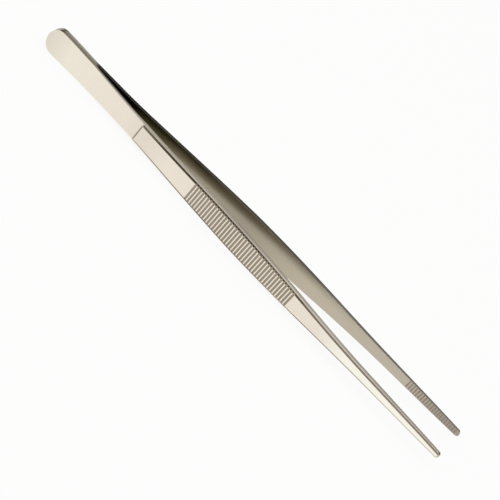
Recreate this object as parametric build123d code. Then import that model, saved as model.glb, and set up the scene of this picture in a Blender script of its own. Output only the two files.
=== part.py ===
from build123d import *
import math
import os

# Long straight tweezer tongs in stainless steel, dressing-forceps pattern.
#
# Two mirrored leaves are welded at the heel and spring apart. Each leaf is one
# strip: a heel pad with a blunt round end, a thin spring stretch, a shoulder,
# and a thicker bevelled blade with cross grooves for the fingers, a long taper
# and a toothed jaw. The strip bends in its spring stretch, so it is parted
# there by a fine cut, the flex line, and the blade swings about it.
#
# Frame: X runs from the heel to the tips, Y is the way the leaves open, Z is up.
# Sizes are in millimetres. The origin is at the middle of the box's underside.

# Whole object
length = 300.0
tip_gap = 24.2

# Heel pad and weld
heel_width = 15.8
heel_round = 6.6
leaf_thickness = 2.1
weld_length = 30.0
weld_width = 14.5
weld_depth = 0.7

# Spring stretch
shoulder_at = 70.4
waist_at = 66.0
waist_width = 12.65
flex_cut = 0.16

# Blade
grip_width = 14.8
grip_middle_at = 145.0
tip_width = 3.7
shoulder_edge = 2.2
shoulder_rise = 0.6
shoulder_run = 1.0
grip_edge = 2.7
tip_edge = 1.8
tip_rise = 0.45
bevel_width = 1.25
tip_bevel_width = 0.9
edge_draft = 0.2

# Finger grooves
grip_from = 112.1
groove_pitch = 1.949
groove_count = 40
groove_radius = 1.0
groove_depth = 0.3

# Jaw teeth
jaw_length = 37.2
tooth_pitch = 1.71
tooth_count = 22
tooth_width = 1.35
tooth_depth = 0.3

# Loft sections and cutters
section_step = 16.0
overrun = 3.0

# Width along the blade after the grips: how far towards the tip, and how much
# of the difference between grip and tip width is left there
taper_shares = [
    (0.13, 0.925),
    (0.21, 0.838),
    (0.29, 0.728),
    (0.39, 0.565),
    (0.49, 0.408),
    (0.62, 0.258),
    (0.77, 0.165),
    (0.91, 0.08),
]

# Half gap along the leaf: how far from the weld to the tip, and how much of
# the tip's half gap is reached there
opening_shares = [
    (0.037, 0.06),
    (0.081, 0.122),
    (0.15, 0.243),
    (0.204, 0.328),
    (0.278, 0.43),
    (0.352, 0.516),
    (0.426, 0.6),
    (0.5, 0.675),
    (0.574, 0.744),
    (0.648, 0.813),
    (0.759, 0.888),
    (0.87, 0.942),
]

heel_radius = heel_width / 2
tip_centre = length - tip_width / 2
half_gap = tip_gap / 2
grip_to = grip_from + groove_pitch * groove_count
flex_at = (weld_length + shoulder_at) / 2

width_knots = [(0, heel_width), (heel_round, heel_width), (weld_length, weld_width)]
width_knots += [(waist_at, waist_width), (grip_middle_at, grip_width)]
for along, left in taper_shares:
    station = grip_middle_at + along * (tip_centre - grip_middle_at)
    width_knots.append((station, tip_width + left * (grip_width - tip_width)))
width_knots.append((tip_centre, tip_width))

opening_knots = [(weld_length, 0)]
for along, reached in opening_shares:
    opening_knots.append((weld_length + along * (length - weld_length), reached * half_gap))
opening_knots.append((length, half_gap))

edge_knots = [(shoulder_at, shoulder_edge), (grip_to, grip_edge), (tip_centre, tip_edge)]
draft_knots = [(heel_round, 0), (weld_length, edge_draft)]


def smooth_value(knots, place):
    """Value at a place on a smooth curve through the knots, with no overshoot."""
    places = [knot[0] for knot in knots]
    values = [knot[1] for knot in knots]
    if place <= places[0]:
        return values[0]
    if place >= places[-1]:
        return values[-1]
    rises = [(values[i + 1] - values[i]) / (places[i + 1] - places[i]) for i in range(len(knots) - 1)]
    slopes = [rises[0]]
    for before, after in zip(rises, rises[1:]):
        slopes.append(2 * before * after / (before + after) if before * after > 0 else 0)
    slopes.append(rises[-1])
    i = max(k for k in range(len(rises)) if places[k] <= place)
    span = places[i + 1] - places[i]
    share = (place - places[i]) / span
    blend = share * share * (3 - 2 * share)
    start = share * (1 - share) ** 2 * slopes[i] * span
    end = share * share * (1 - share) * slopes[i + 1] * span
    return values[i] * (1 - blend) + values[i + 1] * blend + start - end


def half_width_at(place):
    return smooth_value(width_knots, place) / 2


def inner_at(place):
    """Distance of the leaf's inner face from the middle plane."""
    return smooth_value(opening_knots, place)


def edge_at(place):
    """Thickness of the blade's side edge, below its bevel."""
    return smooth_value(edge_knots, place)


def drafted_at(place):
    """Half width at the outer rim of the side edge, which leans in from the inner rim."""
    return half_width_at(place) - smooth_value(draft_knots, place)


def towards_tip(place, at_shoulder, at_tip):
    """Size that changes evenly from the shoulder to the tip."""
    return at_shoulder + (at_tip - at_shoulder) * (place - shoulder_at) / (length - shoulder_at)


def outer_at(place):
    """Distance of the blade's outer face from the middle plane."""
    return inner_at(place) + edge_at(place) + towards_tip(place, shoulder_rise, tip_rise)


def angle_of(curve, place):
    """Angle between a curve along the leaf and the X axis, in degrees."""
    rise = curve(place + tooth_pitch) - curve(place - tooth_pitch)
    return math.degrees(math.atan2(rise, 2 * tooth_pitch))


def stations(start, end):
    """Places for loft sections, evenly spaced from start to end."""
    count = max(3, math.ceil((end - start) / section_step))
    return [start + (end - start) * i / count for i in range(count + 1)]


def section(place, corners):
    """Face square to X, mirrored across the leaf's middle, from its upper corners."""
    upper = [(place, y, z) for y, z in corners]
    lower = [(place, y, -z) for y, z in reversed(corners)]
    return make_face(Polyline(*upper, *lower, close=True))


def pad_section(place):
    half = half_width_at(place)
    return section(place, [(0, half - weld_depth), (weld_depth, half), (leaf_thickness, drafted_at(place))])


def spring_section(place):
    half, inner = half_width_at(place), inner_at(place)
    return section(place, [(inner, half), (inner + leaf_thickness, drafted_at(place))])


def blade_corners(place):
    """Upper corners of the blade's section: inner face, side edge and outer face."""
    inner, drafted = inner_at(place), drafted_at(place)
    face_half = drafted - towards_tip(place, bevel_width, tip_bevel_width)
    return [(inner, half_width_at(place)), (inner + edge_at(place), drafted), (outer_at(place), face_half)]


def blade_section(place):
    return section(place, blade_corners(place))


def half_turn(profile, angle):
    """Round end: a profile of heights and radii, turned half round the Y axis."""
    return revolve(make_face(Polyline(*[(0, y, r) for y, r in profile], close=True)), Axis.Y, angle)


def heel_end(profile):
    """Blunt round end of the heel, a half turn pressed in along X."""
    return Pos(heel_round, 0, 0) * scale(half_turn(profile, -180), by=(heel_round / heel_radius, 1, 1))


def heel_pad():
    """Flat pad with a blunt round end, its inner rim bevelled for the weld."""
    rim = [(0, heel_radius - weld_depth), (weld_depth, heel_radius), (leaf_thickness, heel_radius)]
    end = heel_end([(0, 0), *rim, (leaf_thickness, 0)])
    return end + loft([pad_section(place) for place in stations(heel_round, weld_length)])


def spring_stretch():
    return loft([spring_section(place) for place in stations(weld_length, shoulder_at)])


def plain_blade():
    """Blade with its bevels, which run on round the tip."""
    body = loft([blade_section(place) for place in stations(shoulder_at, tip_centre)])
    corners = blade_corners(tip_centre)
    inner, outer = corners[0][0], corners[-1][0]
    return body + Pos(tip_centre, 0, 0) * half_turn([(inner, 0), *corners, (outer, 0)], 180)


def shoulder_cutter():
    """What the ramp at the shoulder leaves off the thicker blade."""
    end = shoulder_at + shoulder_run
    foot, top = inner_at(shoulder_at) + leaf_thickness, outer_at(end)
    clear = top + overrun
    profile = Polyline((shoulder_at, foot), (end, top), (end, clear), (shoulder_at, clear), close=True)
    return extrude(make_face(profile), amount=grip_width, both=True)


def groove_cutter(place):
    """Round-bottomed finger groove, lying across the outer face."""
    lift = groove_radius - groove_depth
    angle = math.radians(angle_of(outer_at, place))
    centre = (place - lift * math.sin(angle), outer_at(place) + lift * math.cos(angle), 0)
    return Pos(*centre) * Cylinder(groove_radius, grip_width * 2)


def tooth_cutter(place):
    """V-shaped gap between two teeth, lying across the inner face."""
    flare = 1 + overrun / tooth_depth
    mouth = tooth_width / 2 * flare
    profile = Polyline((0, tooth_depth), (mouth, -overrun), (-mouth, -overrun), close=True)
    cutter = extrude(make_face(profile), amount=grip_width, both=True)
    return Pos(place, inner_at(place), 0) * Rot(0, 0, angle_of(inner_at, place)) * cutter


def grooved_leaf():
    """One leaf opening towards +Y, with its finger grooves, before its teeth."""
    grooves = [groove_cutter(grip_from + groove_pitch * (i + 1 / 2)) for i in range(groove_count)]
    blade = plain_blade() - [shoulder_cutter(), *grooves]
    return heel_pad() + spring_stretch() + blade


def toothed(leaf, shift):
    """Leaf with its jaw teeth cut, shifted so that the two jaws mesh."""
    first = length - jaw_length + shift
    return leaf - [tooth_cutter(first + tooth_pitch * i) for i in range(tooth_count)]


def heel_part(leaf):
    """Fixed end of a leaf, up to the flex line."""
    reach = flex_at - flex_cut / 2
    return leaf & Pos(reach / 2, 0, 0) * Box(reach, tip_gap * 3, heel_width * 2)


def arm_part(leaf):
    """Moving end of a leaf, from the flex line to the tip."""
    start = flex_at + flex_cut / 2
    reach = length + overrun - start
    return leaf & Pos(start + reach / 2, 0, 0) * Box(reach, tip_gap * 3, heel_width * 2)


def heel_weld():
    """Weld metal in the V round the heel's rim, ground flush with both leaves."""
    def run(side):
        faces = []
        for place in stations(heel_round, weld_length):
            half = half_width_at(place)
            corners = [(place, -weld_depth, side * half), (place, weld_depth, side * half)]
            corners.append((place, 0, side * (half - weld_depth)))
            faces.append(make_face(Polyline(*corners, close=True)))
        return loft(faces)

    vee = [(-weld_depth, heel_radius), (weld_depth, heel_radius), (0, heel_radius - weld_depth)]
    return heel_end(vee) + run(1) + run(-1)


def in_frame(shape):
    """From the heel end's own place to the middle of the box's underside."""
    return Pos(-length / 2, 0, heel_radius) * shape


blank = grooved_leaf()
rear_leaf = toothed(blank, 0)
front_leaf = mirror(toothed(blank, tooth_pitch / 2), about=Plane.XZ)
pieces = {
    "front_leaf_heel": heel_part(front_leaf),
    "rear_leaf_heel": heel_part(rear_leaf),
    "heel_weld": heel_weld(),
    "front_leaf_arm": arm_part(front_leaf),
    "rear_leaf_arm": arm_part(rear_leaf),
}

os.makedirs("parts", exist_ok=True)
for name, piece in pieces.items():
    export_step(in_frame(piece), f"parts/{name}.step")

flex_y = inner_at(flex_at) + leaf_thickness / 2
print(f"flex lines at x {flex_at - length / 2:.2f}, y -+{flex_y:.3f}")
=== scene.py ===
import math

import bmesh
import bpy
from mathutils import Matrix, Vector


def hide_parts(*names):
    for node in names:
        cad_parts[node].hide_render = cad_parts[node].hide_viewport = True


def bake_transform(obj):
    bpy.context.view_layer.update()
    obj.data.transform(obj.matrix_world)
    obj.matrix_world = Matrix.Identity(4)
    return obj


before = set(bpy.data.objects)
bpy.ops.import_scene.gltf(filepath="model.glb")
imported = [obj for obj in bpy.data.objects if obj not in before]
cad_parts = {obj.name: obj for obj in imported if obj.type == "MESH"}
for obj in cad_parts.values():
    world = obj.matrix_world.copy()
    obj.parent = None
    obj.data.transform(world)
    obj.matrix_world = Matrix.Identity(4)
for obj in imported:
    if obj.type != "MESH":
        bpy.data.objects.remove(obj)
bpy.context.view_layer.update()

# Camera. A long lens a metre off, above and in front of the tongs, and rolled so
# that they run from the upper left to the lower right of the square picture.
mm = 0.001
frame_px = 500
lens_px = 2090
sensor_width = 36.0
camera_distance = 1090.9 * mm
camera_azimuth = math.radians(6.41)
camera_elevation = math.radians(36.0)
camera_roll = math.radians(42.19)
camera_target = Vector((5.56 * mm, 0, 3.15 * mm))

outward = Vector((
    math.sin(camera_azimuth) * math.cos(camera_elevation),
    -math.cos(camera_azimuth) * math.cos(camera_elevation),
    math.sin(camera_elevation),
))
level = Vector((0, 0, 1)).cross(outward).normalized()
upward = outward.cross(level)
right = level * math.cos(camera_roll) + upward * math.sin(camera_roll)
top = upward * math.cos(camera_roll) - level * math.sin(camera_roll)
camera_data = bpy.data.cameras.new("camera")
camera_data.sensor_width = sensor_width
camera_data.lens = lens_px / frame_px * sensor_width
camera_data.clip_start = 10 * mm
camera_data.clip_end = 20
camera = bpy.data.objects.new("camera", camera_data)
camera.matrix_world = Matrix.LocRotScale(
    camera_target + outward * camera_distance,
    Matrix((right, top, outward)).transposed().to_quaternion(),
    None,
)
bpy.context.scene.collection.objects.link(camera)
bpy.context.scene.camera = camera

# The two leaves. Each is one forged strip of stainless steel, ground to a
# flat inner face, thin in its spring stretch and thicker beyond a shoulder,
# with bevelled edges, milled finger grooves and a toothed jaw.
length = 300 * mm
tip_gap = 24.2 * mm
heel_width = 15.8 * mm
heel_round = 6.6 * mm
leaf_thickness = 2.1 * mm
weld_length = 30 * mm
weld_width = 14.5 * mm
weld_depth = 0.7 * mm
shoulder_at = 70.4 * mm
waist_at = 66 * mm
waist_width = 12.65 * mm
grip_width = 14.8 * mm
grip_middle_at = 145 * mm
tip_width = 3.7 * mm
shoulder_edge = 2.2 * mm
shoulder_rise = 0.6 * mm
shoulder_run = 1 * mm
grip_edge = 2.7 * mm
tip_edge = 1.8 * mm
tip_rise = 0.45 * mm
bevel_width = 1.25 * mm
tip_bevel_width = 0.9 * mm
edge_draft = 0.2 * mm
edge_crown = 0.03 * mm
grip_from = 112.1 * mm
groove_pitch = 1.949 * mm
groove_count = 40
groove_radius = 1 * mm
groove_depth = 0.3 * mm
jaw_length = 37.2 * mm
tooth_pitch = 1.71 * mm
tooth_count = 22
tooth_width = 1.35 * mm
tooth_depth = 0.3 * mm
heel_radius = heel_width / 2
tip_centre = length - tip_width / 2
half_gap = tip_gap / 2
grip_to = grip_from + groove_pitch * groove_count
half_chord = math.sqrt(groove_radius ** 2 - (groove_radius - groove_depth) ** 2)

# Along the taper, the share of the width between grip and tip that is left, and
# along the leaf, the share of the tip's half gap that is reached
taper_shares = [
    (0.13, 0.925), (0.21, 0.838), (0.29, 0.728), (0.39, 0.565),
    (0.49, 0.408), (0.62, 0.258), (0.77, 0.165), (0.91, 0.08),
]
opening_shares = [
    (0.037, 0.06), (0.081, 0.122), (0.15, 0.243), (0.204, 0.328), (0.278, 0.43), (0.352, 0.516),
    (0.426, 0.6), (0.5, 0.675), (0.574, 0.744), (0.648, 0.813), (0.759, 0.888), (0.87, 0.942),
]
width_knots = [(0, heel_width), (heel_round, heel_width), (weld_length, weld_width)]
width_knots += [(waist_at, waist_width), (grip_middle_at, grip_width)]
for along, left in taper_shares:
    station = grip_middle_at + along * (tip_centre - grip_middle_at)
    width_knots.append((station, tip_width + left * (grip_width - tip_width)))
width_knots.append((tip_centre, tip_width))
opening_knots = [(weld_length, 0)]
for along, reached in opening_shares:
    opening_knots.append((weld_length + along * (length - weld_length), reached * half_gap))
opening_knots.append((length, half_gap))


def smooth_curve(knots):
    """Function of place on a smooth curve through the knots, with no overshoot."""
    places = [knot[0] for knot in knots]
    values = [knot[1] for knot in knots]
    rises = [(values[i + 1] - values[i]) / (places[i + 1] - places[i]) for i in range(len(knots) - 1)]
    slopes = [rises[0]]
    for before, after in zip(rises, rises[1:]):
        slopes.append(2 * before * after / (before + after) if before * after > 0 else 0)
    slopes.append(rises[-1])

    def value(place):
        if place <= places[0]:
            return values[0]
        if place >= places[-1]:
            return values[-1]
        i = max(k for k in range(len(rises)) if places[k] <= place)
        span = places[i + 1] - places[i]
        share = (place - places[i]) / span
        blend = share * share * (3 - 2 * share)
        start = share * (1 - share) ** 2 * slopes[i] * span
        end = share * share * (1 - share) * slopes[i + 1] * span
        return values[i] * (1 - blend) + values[i + 1] * blend + start - end

    return value


width_at = smooth_curve(width_knots)
inner_at = smooth_curve(opening_knots)
edge_at = smooth_curve([(shoulder_at, shoulder_edge), (grip_to, grip_edge), (tip_centre, tip_edge)])
draft_at = smooth_curve([(weld_length, 0), (shoulder_at, edge_draft)])
crown_at = smooth_curve([(weld_length, 0), (shoulder_at, edge_crown)])

# Share of the side edge, next to its inner rim, painted dark along the spring stretch as painted shade
shade_strip_at = smooth_curve([
    (weld_length, 0.06), (34 * mm, 0.44), (56 * mm, 0.4), (64 * mm, 0.28), (shoulder_at, 0.06),
])


def towards_tip(place, at_shoulder, at_tip):
    """Size that changes evenly from the shoulder to the tip."""
    return at_shoulder + (at_tip - at_shoulder) * (place - shoulder_at) / (length - shoulder_at)


def outer_at(place):
    """Distance of the blade's outer face from the middle plane."""
    return inner_at(place) + edge_at(place) + towards_tip(place, shoulder_rise, tip_rise)


def soft_min(a, b, soft):
    """Smaller of two heights, with the corner between them rounded."""
    share = max(0.0, 1 - abs(a - b) / soft)
    return min(a, b) - share * share * soft / 4


def groove_offset(place):
    """Distance from the middle of the nearest finger groove, or None off the grips."""
    share = (place - grip_from) / groove_pitch
    return (share % 1 - 0.5) * groove_pitch if 0 < share < groove_count else None


# Softened corners at the shoulder's ramp and along the grooves
ramp_ease = 0.08 * mm
groove_ease = 0.06 * mm


def worked_down(place, height):
    """Height of a point on the outer side, once the shoulder's ramp and the grooves are cut."""
    if place <= shoulder_at:
        return min(height, inner_at(place) + leaf_thickness)
    foot, top = inner_at(shoulder_at) + leaf_thickness, outer_at(shoulder_at + shoulder_run)
    ramp = foot + (top - foot) * (place - shoulder_at) / shoulder_run
    height = soft_min(height, ramp, ramp_ease)
    off = groove_offset(place)
    if off is not None and abs(off) < groove_radius:
        floor_drop = groove_depth - groove_radius + math.sqrt(groove_radius ** 2 - off ** 2)
        height = soft_min(height, outer_at(place) - floor_drop, groove_ease)
    return height


def tooth_cut_at(place, shift):
    """Depth of the gaps between the jaw teeth."""
    share = (place - length + jaw_length - shift) / tooth_pitch + 0.5
    if not 0 < share < tooth_count:
        return 0.0
    off = abs(share % 1 - 0.5) * tooth_pitch
    return tooth_depth * max(0.0, 1 - off / (tooth_width / 2))


# First and last step of each straight, and the most it may be as a share of it
flat_margin = 0.04 * mm
most_margin = 0.2


def spread(steps, span):
    """Shares of a span for its points, one of them close to each end so that flats stay flat."""
    close = min(flat_margin / span, most_margin)
    return [close + (1 - 2 * close) * k / (steps - 2) for k in range(steps - 1)] + [1.0]


def rounded(corners, cuts, spans, turns):
    """Points on an outline whose corners are eased: each straight and each corner
    is divided into its own number of steps, the same at every station."""
    points = [corners[0]]
    for i in range(1, len(corners)):
        before, here = corners[i - 1], corners[i]
        last = i == len(corners) - 1
        run = (here - before).normalized()
        end = here if last else here - run * min(cuts[i - 1], (here - before).length / 2)
        begin = points[-1]
        points += [begin.lerp(end, share) for share in spread(spans[i - 1], (end - begin).length)]
        if last:
            break
        ahead = corners[i + 1] - here
        leave = here + ahead.normalized() * min(cuts[i - 1], ahead.length / 2)
        for k in range(1, turns[i - 1] + 1):
            t = k / turns[i - 1]
            points.append(end.lerp(here, t).lerp(here.lerp(leave, t), t))
    return points


# Steps along the inner face, its rim, the side edge, the bevel and half the
# outer face, and round the corners between them
span_steps = [6, 3, 6, 7, 6]
turn_steps = [2, 3, 4, 4]
inner_count = 1 + span_steps[0] + turn_steps[0] + span_steps[1] + turn_steps[1]
edge_count = inner_count + span_steps[2] + turn_steps[2] // 2
bevel_count = edge_count + turn_steps[2] // 2 + span_steps[3]
soft_bevel_from = 196 * mm

# How far the inner rim is eased, and each corner's own ease
rim_ease = 0.05 * mm
corner_eases = [0.02 * mm, 0.02 * mm, 0.04 * mm, 0.06 * mm]


def rim_and_edge_at(place):
    """Heights between which the side edge lies: above its eased inner rim, and at its outer rim."""
    ease = weld_depth if place <= weld_length else rim_ease
    thick = edge_at(place) if place > shoulder_at else leaf_thickness
    return inner_at(place) + ease, inner_at(place) + thick


def crown_out(place, share):
    """How far the side edge's crown stands out at a share of the way up it."""
    return crown_at(place) * 4 * share * (1 - share)


def side_at(place, height):
    """How far out the leaning, slightly crowned side edge lies at a height."""
    rim, edge = rim_and_edge_at(place)
    share = min(1.0, max(0.0, (height - rim) / (edge - rim)))
    return width_at(place) / 2 - draft_at(place) * share + crown_out(place, share)


def half_profile(place):
    """Half of the leaf's section: distance from its middle line, and from the middle plane."""
    half, inner = width_at(place) / 2, inner_at(place)
    drafted = half - draft_at(place)
    rim, edge = rim_and_edge_at(place)
    face = outer_at(place) if place > shoulder_at else edge
    face_half = drafted - towards_tip(max(place, shoulder_at), bevel_width, tip_bevel_width)
    corners = [(0, inner), (half - (rim - inner), inner), (half, rim), (drafted, edge)]
    corners += [(face_half, face), (0, face)]
    points = rounded([Vector(c) for c in corners], corner_eases, span_steps, turn_steps)
    if weld_length < place < shoulder_at:
        # The border of the painted dark strip has a line of points of its own
        strip_to = inner_count + span_steps[2] - 2
        points[inner_count + 1] = points[inner_count].lerp(points[strip_to], shade_strip_at(place))
    for point in points:
        if rim < point[1] < edge:
            point[0] += crown_out(place, (point[1] - rim) / (edge - rim))
    return points


# Steps between rows of points along the leaf, and the least step anywhere
pad_step = 1.5 * mm
spring_step = 1.2 * mm
ramp_step = 0.1 * mm
blade_step = 2 * mm
least_step = 0.02 * mm

# How far the rows keep from the weld's end and from both sides of the shoulder,
# and where those beyond its ramp start, in lengths of the ramp
past_weld = 0.05 * mm
before_shoulder = 0.1 * mm
past_shoulder = 0.01 * mm
past_ramp = 1.2

# Where rows lie across a groove and a tooth gap, in half widths from its middle
groove_rows = (0, 0.25, 0.5, 0.72, 0.88, 0.95, 1.0, 1.06)
gap_rows = (0, 0.06, 0.5, 0.94, 1.0)


def station_places(shift):
    """Places along the leaf for its rows of points, closer where it is worked."""
    marks = []

    def fill(start, end, step):
        count = max(1, round((end - start) / step))
        marks.extend(start + (end - start) * i / count for i in range(count + 1))

    fill(heel_round, weld_length, pad_step)
    fill(weld_length + past_weld, shoulder_at - before_shoulder, spring_step)
    fill(shoulder_at + past_shoulder, shoulder_at + shoulder_run, ramp_step)
    fill(shoulder_at + shoulder_run * past_ramp, grip_from, blade_step)
    for i in range(groove_count):
        middle = grip_from + groove_pitch * (i + 0.5)
        for share in groove_rows:
            marks.extend([middle - share * half_chord, middle + share * half_chord])
        marks.append(middle + groove_pitch / 2)
    jaw_from = length - jaw_length
    fill(grip_to, jaw_from - tooth_pitch, blade_step)
    for i in range(tooth_count):
        middle = jaw_from + tooth_pitch * i + shift
        for share in gap_rows:
            marks.extend([middle - share * tooth_width / 2, middle + share * tooth_width / 2])
    marks.append(tip_centre)
    places = []
    for mark in sorted(m for m in marks if heel_round <= m <= tip_centre):
        if not places or mark - places[-1] > least_step:
            places.append(mark)
    places[-1] = tip_centre
    return places


# Steps round the tip and round the heel's end
tip_steps = 28
heel_steps = 44


def leaf_rows(side, shift):
    """Rows of points round the leaf: along its top, round the tip, back and round the heel."""
    places = station_places(shift)
    path = [(place, 90) for place in places]
    path += [(tip_centre, 90 - 180 * i / tip_steps) for i in range(1, tip_steps)]
    path += [(place, -90) for place in reversed(places)]
    path += [(heel_round, -90 - 180 * i / heel_steps) for i in range(1, heel_steps)]
    profiles = {place: half_profile(place) for place in places}
    rows = []
    for place, degrees in path:
        angle = math.radians(degrees)
        press = heel_round / heel_radius if place == heel_round else 1
        row = []
        for k, (out, height) in enumerate(profiles[place]):
            widest = width_at(place) / 2 if k > span_steps[0] else out
            there = place + press * widest * math.cos(angle)
            gap_floor = inner_at(there) + tooth_cut_at(there, shift)
            if k < edge_count and there > weld_length and height < gap_floor:
                # A tooth gap takes the inner face and rim down with it
                height = gap_floor
                out = min(out, side_at(place, height))
            along = place + press * out * math.cos(angle)
            if k >= inner_count:
                height = worked_down(along, height)
            row.append(Vector((along - length / 2, side * height, heel_radius + out * math.sin(angle))))
        rows.append(row)
    return rows, path


# Depth from which a tooth gap, and width to which a groove, takes its own finish, painted darker as
# painted shade
gap_from = 0.4 * tooth_depth
groove_reach = 0.85 * half_chord


def zone_of(k, place, shift):
    """Which finish a strip of faces has, by its place in the section and along the leaf."""
    if k < inner_count - turn_steps[1]:
        if place < length - jaw_length - tooth_width / 2:
            return "inner"
        return "gap" if tooth_cut_at(place, shift) > gap_from else "jaw"
    if k < edge_count:
        return "dark_edge" if weld_length < place < shoulder_at and k <= inner_count else "edge"
    if k < bevel_count:
        if place > soft_bevel_from:
            return "soft_bevel"
        return "bevel" if place > shoulder_at else "face"
    off = groove_offset(place)
    in_groove = off is not None and abs(off) < groove_reach
    # The shoulder's ramp takes the grooves' finish, a painted dark line of shade
    return "grip" if in_groove or shoulder_at < place < shoulder_at + shoulder_run else "face"


# Points nearer than this are one, and edges up to this angle are shaded smooth
merge_within = 0.0001 * mm
smooth_up_to = math.radians(28)


def leaf_mesh(name, side, shift, finishes):
    """One leaf as a closed mesh. side is -1 for the front leaf and 1 for the rear,
    shift moves its teeth along, and finishes gives each zone its material."""
    rows, path = leaf_rows(side, shift)
    zones = list(finishes)
    grid = bmesh.new()
    verts = [[grid.verts.new(point) for point in row] for row in rows]
    for i in range(len(rows)):
        ahead = (i + 1) % len(rows)
        for k in range(len(rows[0]) - 1):
            face = grid.faces.new((verts[i][k], verts[ahead][k], verts[ahead][k + 1], verts[i][k + 1]))
            face.smooth = True
            middle = (path[i][0] + path[ahead][0]) / 2
            face.material_index = zones.index(zone_of(k, middle, shift))
    bmesh.ops.remove_doubles(grid, verts=grid.verts, dist=merge_within)
    bmesh.ops.recalc_face_normals(grid, faces=grid.faces)
    mesh = bpy.data.meshes.new(name)
    grid.to_mesh(mesh)
    grid.free()
    for finish in finishes.values():
        mesh.materials.append(finish)
    mesh.set_sharp_from_angle(angle=smooth_up_to)
    leaf = bpy.data.objects.new(name, mesh)
    bpy.context.scene.collection.objects.link(leaf)
    return leaf


def linear(hex_code):
    """Linear colour, with alpha, from an sRGB hex code."""
    parts = [int(hex_code[i:i + 2], 16) / 255 for i in (1, 3, 5)]
    return [c / 12.92 if c <= 0.04045 else ((c + 0.055) / 1.055) ** 2.4 for c in parts] + [1.0]


def add(tree, kind, inputs, **settings):
    """Adds a node with its settings; a socket given as an input is linked."""
    made = tree.nodes.new(kind)
    for key, value in settings.items():
        setattr(made, key, value)
    for key, value in inputs.items():
        if isinstance(value, bpy.types.NodeSocket):
            tree.links.new(value, made.inputs[key])
        else:
            made.inputs[key].default_value = value
    return made


def set_stops(ramp, wanted):
    """Gives a colour ramp its stops: a position and a colour each."""
    stops = ramp.color_ramp.elements
    while len(stops) > len(wanted):
        stops.remove(stops[-1])
    while len(stops) < len(wanted):
        stops.new(0.5)
    for stop, (position, colour) in zip(stops, wanted):
        stop.position = position
        stop.color = colour


# Size of the patches where hand grinding has left the tone a little uneven, their
# share in the pattern beside the lines, and the range in which its noise lies
cloud_size = 18 * mm
cloud_share = 0.35
noise_low, noise_high = 0.3, 0.7


def steel(name, tones, rough, grain, depth, mottle=0.05, upper=None, rise_over=(heel_radius, heel_width)):
    """Stainless steel with fine ground lines. tones are colours with the place along
    the leaf, in millimetres, where each is reached; rough is the range of roughness;
    grain is the size of one line along each axis, in metres; depth is how deep the
    lines are cut and mottle how much the tone varies. upper are the tones along the
    upper edge, where they differ, painted lighter or darker there as painted light
    and shade, and rise_over the heights between which they take over."""
    material = bpy.data.materials.new(name)
    material.use_nodes = True
    tree = material.node_tree
    tree.nodes.clear()
    place = add(tree, "ShaderNodeTexCoord", {}).outputs["Object"]
    parts = add(tree, "ShaderNodeSeparateXYZ", {"Vector": place})
    share = add(tree, "ShaderNodeMapRange", {
        "Value": parts.outputs["X"], "From Min": -length / 2, "From Max": length / 2,
    }).outputs["Result"]

    def tinted(tones):
        ramp = add(tree, "ShaderNodeValToRGB", {"Fac": share})
        set_stops(ramp, [(reach * mm / length, linear(tone)) for reach, tone in tones])
        return ramp.outputs["Color"]

    colour = tinted(tones)
    if upper:
        rise = add(tree, "ShaderNodeMapRange", {
            "Value": parts.outputs["Z"], "From Min": rise_over[0], "From Max": rise_over[1],
        }, interpolation_type="SMOOTHSTEP")
        colour = add(tree, "ShaderNodeMix", {
            "Factor": rise.outputs["Result"], "A": colour, "B": tinted(upper),
        }, data_type="RGBA").outputs["Result"]
    scaled = add(tree, "ShaderNodeMapping", {"Vector": place, "Scale": [1 / size for size in grain]})
    lines = add(tree, "ShaderNodeTexNoise", {
        "Vector": scaled.outputs["Vector"], "Scale": 1.0, "Detail": 4.0, "Roughness": 0.6,
    }).outputs["Fac"]
    cloud = add(tree, "ShaderNodeTexNoise", {
        "Vector": place, "Scale": 1 / cloud_size, "Detail": 3.0, "Roughness": 0.5,
    }).outputs["Fac"]
    mixed = add(tree, "ShaderNodeMix", {
        "Factor": cloud_share, "A": lines, "B": cloud,
    }, data_type="FLOAT").outputs["Result"]
    light = add(tree, "ShaderNodeMapRange", {
        "Value": mixed, "From Min": noise_low, "From Max": noise_high,
        "To Min": 1 - mottle, "To Max": 1 + mottle / 2,
    })
    toned = add(tree, "ShaderNodeHueSaturation", {"Color": colour, "Value": light.outputs["Result"]})
    dullness = add(tree, "ShaderNodeMapRange", {
        "Value": mixed, "From Min": noise_low, "From Max": noise_high,
        "To Min": rough[0], "To Max": rough[1],
    })
    bump = add(tree, "ShaderNodeBump", {"Height": lines, "Strength": 0.6, "Distance": depth})
    shader = add(tree, "ShaderNodeBsdfPrincipled", {
        "Base Color": toned.outputs["Color"],
        "Roughness": dullness.outputs["Result"],
        "Normal": bump.outputs["Normal"],
        "Metallic": 1.0,
    })
    add(tree, "ShaderNodeOutputMaterial", {"Surface": shader.outputs["BSDF"]})
    return material


# Size of one ground line along each axis. A fine belt leaves lines about 0.05 mm
# wide, and the cutter's marks across grooves and teeth are as fine. Neither would
# show from here, so they are drawn about 0.3 mm wide.
along_grain = (9 * mm, 0.35 * mm, 0.35 * mm)
cross_grain = (0.3 * mm, 0.3 * mm, 5 * mm)

# Outer faces, ground along on a fine belt: a soft pale sheen with no clear reflection. The tone along the
# leaf is painted to the light: a shade greyer at the heel and the shoulder as painted shade, and lightest
# towards the tips as a painted highlight.
satin_face = steel("satin_ground_stainless", [
    (0, "#e4dccc"), (16, "#f4ecdd"), (60, "#f0e7d9"), (77, "#e8dfd1"), (95, "#f2e9db"),
    (210, "#f0e6d7"), (232, "#fefbee"),
], rough=(0.3, 0.4), grain=along_grain, depth=0.005 * mm, mottle=0.03)
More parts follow.
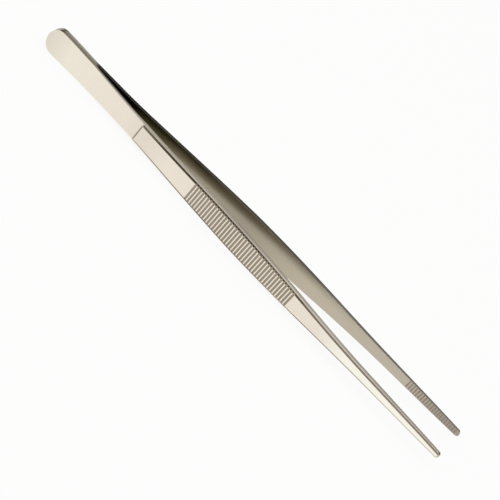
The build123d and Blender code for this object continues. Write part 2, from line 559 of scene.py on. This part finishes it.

# Side edges, ground and then dressed: smoother than the faces, so that they show the room as a narrow
# grey band. Their tone along the leaf is painted to the light, with painted shade round the heel's end,
# and the rear leaf's edges take a darker, shaded copy.
front_edge = steel("ground_stainless_edge", [
    (0, "#7a7468"), (9, "#bfb5a3"), (24, "#b2a894"), (36, "#ccc4b4"), (125, "#ccc4b4"),
    (150, "#bab2a3"), (190, "#c2baac"), (215, "#ccc4b6"), (262, "#b2aa9c"),
], rough=(0.14, 0.22), grain=along_grain, depth=0.003 * mm)

# The rear leaf's side edges, and a strip of both where the leaf is thin: a darker copy of the side edges'
# steel, painted brown-black as painted shade along the spring stretch and round the heel's end, and paler
# towards the jaw.
rear_edge = steel("painted_shade_stainless_edge", [
    (0, "#7a7468"), (9, "#dfd7c9"), (28, "#dfd7c9"), (31, "#4a4740"), (66, "#4c4940"), (80, "#76715f"),
    (95, "#68634f"), (158, "#8f8878"), (190, "#a69e8e"), (208, "#c6bdae"), (300, "#d3cabb"),
], rough=(0.16, 0.26), grain=along_grain, depth=0.003 * mm)

# Bevels, cut with a finer stone: nearly bright, so that each is one clean line. Their colour is painted
# dark, as painted shade for the dim side of the room that they mirror, and the upper ones are painted
# paler next to the shoulder; their tones take over within a millimetre of the middle.
bevel_rise = (heel_radius - tip_width / 4, heel_radius + tip_width / 4)
bevel_cut = steel("bevel_ground_stainless", [
    (77, "#b9ae96"), (88, "#9a8e77"), (115, "#837864"), (160, "#837864"), (180, "#a4987f"),
], rough=(0.12, 0.2), grain=along_grain, depth=0.003 * mm, upper=[
    (77, "#dacfb4"), (88, "#9a8e77"), (108, "#988c75"), (115, "#837864"), (160, "#837864"),
    (180, "#a4987f"),
], rise_over=bevel_rise)

# The same bevels on the taper, rubbed over when it was drawn down: rougher, with a tone painted paler as
# painted light, so that they melt into the face, the upper one sooner than the lower.
soft_bevel = steel("rubbed_bevel_painted_light_stainless", [
    (194, "#978c79"), (212, "#978f80"), (232, "#a0978a"), (250, "#bab0a0"), (262, "#c9beab"),
], rough=(0.3, 0.38), grain=along_grain, depth=0.003 * mm, upper=[
    (194, "#978c79"), (212, "#bfb4a1"), (255, "#c9beab"),
], rise_over=bevel_rise)

# Inner faces, smooth: painted shade between the leaves, near black in the throat, then straw brown, then
# plain grey, and darker along the upper edge, which lies in the other leaf's shade.
smooth_inner = steel("painted_shade_inner_stainless", [
    (36, "#24221f"), (55, "#6d6857"), (65, "#a09a83"), (80, "#958e79"), (93, "#a69e89"),
    (142, "#a49b89"), (189, "#c0b7a3"), (300, "#c0b8a9"),
], rough=(0.18, 0.26), grain=along_grain, depth=0.003 * mm, mottle=0.06, upper=[
    (36, "#24221f"), (65, "#625e4f"), (80, "#47443a"), (106, "#3f3c34"), (127, "#797367"),
    (158, "#878072"), (190, "#8a8375"), (206, "#a49c8d"), (232, "#b8b0a0"),
])

# Jaw, milled across: the teeth's lands are matt grey, and their gaps are matt and painted darker still as
# painted shade in the hollows.
milled_jaw = steel("milled_jaw_stainless", [
    (264, "#beb4a5"), (284, "#a99f92"),
], rough=(0.3, 0.42), grain=cross_grain, depth=0.008 * mm, mottle=0.1)
tooth_gap = steel("milled_tooth_gap_stainless", [
    (0, "#938a7c"),
], rough=(0.35, 0.45), grain=cross_grain, depth=0.008 * mm, mottle=0.1)

# Finger grooves, milled across with a round cutter: matt, and painted darker than the satin ridges left
# between them as painted shade in the hollows, which gives the grips their stripes. The shoulder's ramp
# takes it too, as a painted dark line.
milled_grip = steel("milled_grip_stainless", [
    (112, "#a39886"), (140, "#9c917f"),
], rough=(0.3, 0.42), grain=cross_grain, depth=0.006 * mm, mottle=0.08)

zone_finishes = {
    "face": satin_face, "edge": front_edge, "bevel": bevel_cut, "inner": smooth_inner, "jaw": milled_jaw,
    "grip": milled_grip, "gap": tooth_gap, "soft_bevel": soft_bevel, "dark_edge": rear_edge,
}
front_leaf = leaf_mesh("front_leaf", -1, tooth_pitch / 2, zone_finishes)
rear_leaf = leaf_mesh("rear_leaf", 1, 0, {**zone_finishes, "edge": rear_edge})
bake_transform(front_leaf)
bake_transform(rear_leaf)
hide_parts("front_leaf_heel", "front_leaf_arm")
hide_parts("rear_leaf_heel", "rear_leaf_arm")

# Heel weld. Steel filler laid in the V round the heel's rim and ground flush
# with both leaves across the seam, so that only a slightly greyer, coarser line
# of ground steel shows it.
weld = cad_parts["heel_weld"]

# Weld metal, ground by a wheel across the seam. Its lines are about 0.1 mm wide,
# and are drawn at 0.5 mm so that they show.
weld_grain = (0.5 * mm, 3 * mm, 0.5 * mm)
weld_steel = steel("ground_weld_stainless", [
    (0, "#b3a994"),
], rough=(0.2, 0.32), grain=weld_grain, depth=0.008 * mm, mottle=0.12)
weld.data.materials.clear()
weld.data.materials.append(weld_steel)

# Studio. A plain pale paper floor that the tongs lie on, a large soft lamp above
# and soft light from all round, darker near the horizon, which the steel shows.
floor_reach = 6.0
floor_mesh = bpy.data.meshes.new("floor")
floor_corners = [(x * floor_reach, y * floor_reach, 0) for x, y in ((-1, -1), (1, -1), (1, 1), (-1, 1))]
floor_mesh.from_pydata(floor_corners, [], [(0, 1, 2, 3)])
floor = bpy.data.objects.new("floor", floor_mesh)
bpy.context.scene.collection.objects.link(floor)

# Matt paper. The camera, and the steel's reflections, see it nearly all as plain
# white, and the rest of it keeps the tongs' shadow.
white_share = 0.9
paper = bpy.data.materials.new("white_paper")
paper.use_nodes = True
sheet = paper.node_tree
sheet.nodes.clear()
matt = add(sheet, "ShaderNodeBsdfPrincipled", {"Base Color": linear("#f7f6f3"), "Roughness": 0.9})
white = add(sheet, "ShaderNodeEmission", {"Color": linear("#ffffff"), "Strength": 1.0})
ray = add(sheet, "ShaderNodeLightPath", {}).outputs
seen = ray["Is Camera Ray"]
for kind in ("Is Glossy Ray", "Is Transmission Ray"):
    both = add(sheet, "ShaderNodeMath", {0: seen, 1: ray[kind]}, operation="MAXIMUM")
    seen = both.outputs["Value"]
seen = add(sheet, "ShaderNodeMath", {0: seen, 1: white_share}, operation="MULTIPLY")
look = add(sheet, "ShaderNodeMixShader", {
    0: seen.outputs["Value"], 1: matt.outputs["BSDF"], 2: white.outputs["Emission"],
})
add(sheet, "ShaderNodeOutputMaterial", {"Surface": look.outputs["Shader"]})
floor_mesh.materials.append(paper)

# Brightness of the room by height, from the horizon at 0 to straight up at 1
sky_stops = [(0.09, 0.85), (0.14, 0.2), (0.45, 0.2), (0.7, 0.6), (0.85, 0.68)]
world = bpy.data.worlds.new("soft_room")
bpy.context.scene.world = world
world.use_nodes = True
room = world.node_tree
room.nodes.clear()
direction = add(room, "ShaderNodeTexCoord", {}).outputs["Generated"]
height = add(room, "ShaderNodeSeparateXYZ", {"Vector": direction}).outputs["Z"]
sky = add(room, "ShaderNodeValToRGB", {"Fac": height})
set_stops(sky, [(rise, (tone, tone, tone, 1)) for rise, tone in sky_stops])
sky_light = add(room, "ShaderNodeBackground", {"Color": sky.outputs["Color"], "Strength": 1.0})
add(room, "ShaderNodeOutputWorld", {"Surface": sky_light.outputs["Background"]})

# Large square lamp, hung a little in front of the tongs and towards their heel
lamp_data = bpy.data.lights.new("overhead_lamp", "AREA")
lamp_data.shape = "SQUARE"
lamp_data.size = 2.6
lamp_data.energy = 18
lamp = bpy.data.objects.new("overhead_lamp", lamp_data)
lamp.location = (-0.2, -0.15, 1.6)
lamp.rotation_euler = lamp.location.to_track_quat("Z", "Y").to_euler()
bpy.context.scene.collection.objects.link(lamp)
bpy.context.scene.view_settings.view_transform = "Standard"
